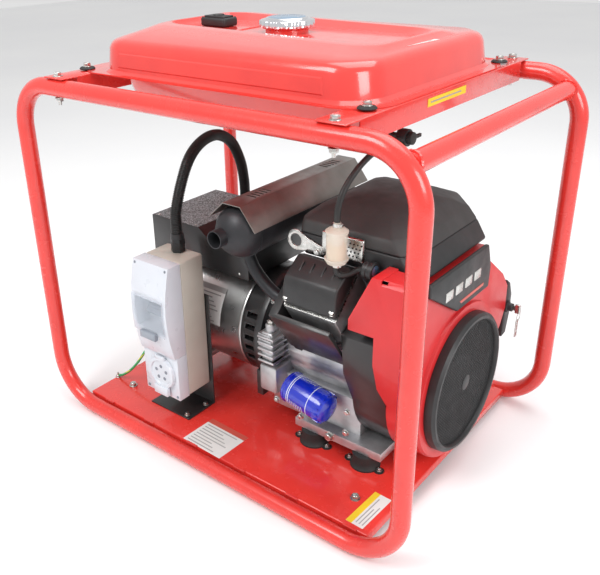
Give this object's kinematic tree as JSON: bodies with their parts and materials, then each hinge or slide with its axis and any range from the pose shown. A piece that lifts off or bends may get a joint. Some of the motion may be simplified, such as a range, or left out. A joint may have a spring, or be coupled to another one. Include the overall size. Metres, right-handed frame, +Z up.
{
  "type": "engine-driven generator set",
  "caption": "Open-frame petrol generator: a tubular steel cradle with a flat tank on top, a V-twin engine and alternator on a tray, and a wall-box outlet",
  "frame": {"origin": "on the floor under the middle of the cradle", "axes": "+X along the crankshaft to the fan end, -Y to the side with the outlet box, +Z up"},
  "size_m": [0.9138, 0.6378, 0.8405],
  "materials": {
    "cradle_paint": "gloss red powder coat",
    "tank_paint": "gloss red enamel on pressed steel",
    "fan_cover_paint": "satin red enamel",
    "black_paint": "satin black enamel",
    "blue_paint": "gloss blue enamel",
    "exhaust_paint": "matt heat-resistant black",
    "cast_aluminium": "as-cast alloy",
    "machined_steel": "turned steel",
    "stainless_sheet": "brushed stainless sheet",
    "zinc_steel": "bright zinc plate",
    "cap_chrome": "chrome plate",
    "rubber": "matt black rubber",
    "black_plastic": "moulded black plastic",
    "grained_plastic": "grained dark grey moulding",
    "box_plastic": "beige-grey moulding",
    "lid_plastic": "pale blue-grey moulding",
    "clear_plastic": "clear smoky-blue moulding",
    "filter_plastic": "amber-white translucent moulding",
    "earth_insulation": "green and yellow cable insulation"
  },
  "bodies": {
    "cradle_and_engine": {"frame_loop_near": "cradle_paint", "frame_loop_far": "cradle_paint", "cross_tube": "cradle_paint", "base_tray": "cradle_paint", "tank_rail_left": "cradle_paint", "tank_rail_right": "cradle_paint", "fuel_tank": "tank_paint", "fuel_gauge": "black_plastic", "fuel_tap_body": "black_plastic", "fuel_hose": "rubber", "fuel_filter": "filter_plastic", "pump_hose": "rubber", "fuel_pump": "black_plastic", "engine_isolator_near_fan": "rubber", "engine_isolator_near_drive": "rubber", "engine_isolator_far_fan": "rubber", "engine_isolator_far_drive": "rubber", "alternator_isolator_near": "rubber", "alternator_isolator_far": "rubber", "crankcase": "cast_aluminium", "cylinder_near": "cast_aluminium", "cylinder_far": "cast_aluminium", "valve_cover_near": "black_paint", "valve_cover_far": "black_paint", "cylinder_shroud_near": "black_paint", "cylinder_shroud_far": "black_paint", "fan_housing": "black_paint", "fan_cover": "fan_cover_paint", "badge_panel": "black_plastic", "fan_grille": "black_plastic", "air_cleaner_base": "black_plastic", "air_cleaner_cover": "grained_plastic", "oil_filter": "blue_paint", "starter_motor": "black_paint", "carburettor": "cast_aluminium", "lifting_eye": "zinc_steel", "key_switch": "black_plastic", "muffler": "exhaust_paint", "heat_shield": "stainless_sheet", "exhaust_pipe": "exhaust_paint", "alternator_barrel": "stainless_sheet", "drive_end_bracket": "black_paint", "rear_bracket": "cast_aluminium", "control_box": "black_paint", "outlet_bracket": "black_paint", "outlet_box_base": "box_plastic", "outlet_lid_upper": "lid_plastic", "outlet_lid_lower": "lid_plastic", "conduit": "rubber", "conduit_gland": "black_plastic", "earth_cable": "earth_insulation"},
    "rotating_group": {"crankshaft": "machined_steel", "alternator_rotor": "machined_steel", "flywheel_fan": "cast_aluminium"},
    "cap": {"fuel_cap": "cap_chrome"},
    "tap": {"fuel_tap_lever": "black_plastic"},
    "key": {"ignition_key": "zinc_steel"},
    "window": {"window_flap": "clear_plastic"},
    "toggle": {"breaker_toggle": "black_plastic"},
    "socket_cover": {"socket_flap": "clear_plastic"}
  },
  "joints": [
    {"name": "crankshaft_spin", "type": "hinge", "parent": "cradle_and_engine", "child": "rotating_group", "pos_m": [0, 0, 0.21], "axis": [1, 0, 0], "continuous": true},
    {"name": "fuel_cap_turn", "type": "hinge", "parent": "cradle_and_engine", "child": "cap", "pos_m": [-0.013, 0, 0.8235], "axis": [0, 0, 1], "range_deg": [0, 90]},
    {"name": "fuel_tap_turn", "type": "hinge", "parent": "cradle_and_engine", "child": "tap", "pos_m": [0.262, -0.02, 0.658], "axis": [1, 0, 0], "range_deg": [0, 90]},
    {"name": "key_turn", "type": "hinge", "parent": "cradle_and_engine", "child": "key", "pos_m": [0.3913, 0.2195, 0.272], "axis": [-1, 0, 0], "range_deg": [0, 90]},
    {"name": "window_hinge", "type": "hinge", "parent": "cradle_and_engine", "child": "window", "pos_m": [-0.168, -0.267, 0.324], "axis": [-1, 0, 0], "range_deg": [0, 110]},
    {"name": "toggle_throw", "type": "hinge", "parent": "cradle_and_engine", "child": "toggle", "pos_m": [-0.168, -0.234, 0.286], "axis": [-1, 0, 0], "range_deg": [0, 60]},
    {"name": "socket_flap_hinge", "type": "hinge", "parent": "cradle_and_engine", "child": "socket_cover", "pos_m": [-0.164, -0.2502, 0.181], "axis": [-1, 0, 0], "range_deg": [0, 110]}
  ]
}
